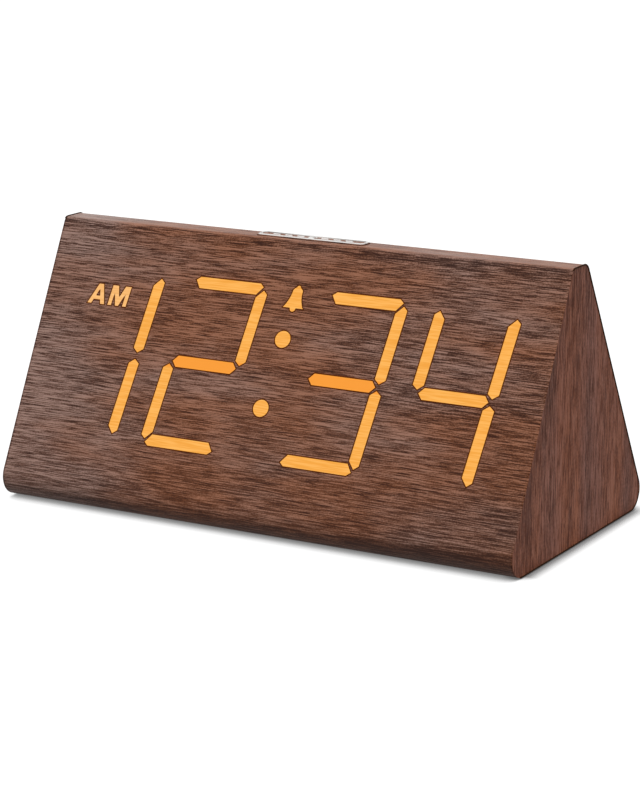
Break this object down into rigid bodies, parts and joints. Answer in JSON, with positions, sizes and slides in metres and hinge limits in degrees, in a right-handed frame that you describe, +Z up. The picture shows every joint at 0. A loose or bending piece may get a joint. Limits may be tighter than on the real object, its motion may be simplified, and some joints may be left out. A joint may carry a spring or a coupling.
{
  "type": "alarm clock",
  "caption": "Wedge-shaped wooden alarm clock with large amber digits in its sloping front, a snooze key along the ridge, rear controls and a battery box below.",
  "frame": {"origin": "middle of the clock's bounding box, on the surface that its feet stand on", "axes": "+X along the width to the right seen from the front, +Y towards the rear, +Z up"},
  "size_m": [0.18, 0.0914, 0.0859],
  "materials": {
    "walnut_veneer": "satin wood film, fine grain along the width",
    "walnut_end_veneer": "satin wood film, grain up the end",
    "fibreboard": "raw medium-density board",
    "amber_light": "lit amber window",
    "black_plastic": "fine moulded texture",
    "button_plastic": "satin moulded",
    "white_plastic": "matt reflector white",
    "milk_plastic": "translucent diffusing sheet",
    "circuit_board": "green solder mask",
    "chip_plastic": "moulded epoxy",
    "diode_resin": "clear resin over a yellow die",
    "screw_steel": "zinc plated",
    "contact_metal": "nickel plated strip",
    "foot_rubber": "soft pad",
    "cell_jacket": "plain printed sleeve",
    "speaker_metal": "pressed and coated",
    "speaker_paper": "pulp cone",
    "cable_jacket": "soft insulation"
  },
  "bodies": {
    "case": {"veneer_wrap": "walnut_veneer", "left_end_veneer": "walnut_end_veneer", "right_end_veneer": "walnut_end_veneer", "front_board": "fibreboard", "rear_board": "fibreboard", "base_board": "fibreboard", "ridge_rail": "fibreboard", "left_end_board": "fibreboard", "right_end_board": "fibreboard", "hour_tens_light": "amber_light", "hour_units_light": "amber_light", "minute_tens_light": "amber_light", "minute_units_light": "amber_light", "colon_light": "amber_light", "alarm_bell_light": "amber_light", "morning_mark_light": "amber_light", "diffuser_sheet": "milk_plastic", "segment_reflector": "white_plastic", "display_board": "circuit_board", "segment_leds": "diode_resin", "display_driver": "chip_plastic", "display_screws": "screw_steel", "snooze_switch": "chip_plastic", "snooze_board": "circuit_board", "rear_panel": "black_plastic", "panel_screws": "screw_steel", "control_board": "circuit_board", "board_screws": "screw_steel", "ribbon_headers": "white_plastic", "clock_chip": "chip_plastic", "power_inlet": "black_plastic", "button_switches": "chip_plastic", "slide_switches": "contact_metal", "dimmer_control": "white_plastic", "speaker_frame": "speaker_metal", "speaker_cone": "speaker_paper", "battery_tray": "black_plastic", "battery_cells": "cell_jacket", "battery_contacts": "contact_metal", "tray_screws": "screw_steel", "rubber_feet": "foot_rubber", "display_ribbon": "cable_jacket", "battery_leads": "cable_jacket", "snooze_leads": "cable_jacket", "speaker_leads": "cable_jacket"},
    "snooze_key": {"snooze_key": "walnut_veneer", "snooze_plunger": "button_plastic"},
    "time_button": {"time_button": "button_plastic", "time_plunger": "button_plastic"},
    "alarm_button": {"alarm_button": "button_plastic", "alarm_plunger": "button_plastic"},
    "hour_button": {"hour_button": "button_plastic", "hour_plunger": "button_plastic"},
    "minute_button": {"minute_button": "button_plastic", "minute_plunger": "button_plastic"},
    "alarm_slider": {"alarm_slider": "button_plastic"},
    "volume_slider": {"volume_slider": "button_plastic"},
    "dimmer_wheel": {"dimmer_wheel": "button_plastic"},
    "battery_door": {"battery_door": "black_plastic"}
  },
  "joints": [
    {"name": "snooze_press", "type": "slide", "parent": "case", "child": "snooze_key", "axis": [0, 0, -1], "range_m": [0, 0.0007], "stiffness_N_per_m": 2000},
    {"name": "time_press", "type": "slide", "parent": "case", "child": "time_button", "axis": [0, -0.8695, -0.4939], "range_m": [0, 0.0008], "stiffness_N_per_m": 1500},
    {"name": "alarm_press", "type": "slide", "parent": "case", "child": "alarm_button", "axis": [0, -0.8695, -0.4939], "range_m": [0, 0.0008], "stiffness_N_per_m": 1500},
    {"name": "hour_press", "type": "slide", "parent": "case", "child": "hour_button", "axis": [0, -0.8695, -0.4939], "range_m": [0, 0.0008], "stiffness_N_per_m": 1500},
    {"name": "minute_press", "type": "slide", "parent": "case", "child": "minute_button", "axis": [0, -0.8695, -0.4939], "range_m": [0, 0.0008], "stiffness_N_per_m": 1500},
    {"name": "alarm_slide", "type": "slide", "parent": "case", "child": "alarm_slider", "axis": [-1, 0, 0], "range_m": [0, 0.003]},
    {"name": "volume_slide", "type": "slide", "parent": "case", "child": "volume_slider", "axis": [-1, 0, 0], "range_m": [0, 0.003]},
    {"name": "dimmer_turn", "type": "hinge", "parent": "case", "child": "dimmer_wheel", "pos_m": [0.007, 0.0258, 0.03485], "axis": [1, 0, 0], "range_deg": [-135, 135]},
    {"name": "battery_door_swing", "type": "hinge", "parent": "case", "child": "battery_door", "pos_m": [0, -0.01465, 0.002], "axis": [-1, 0, 0], "range_deg": [0, 85]}
  ]
}
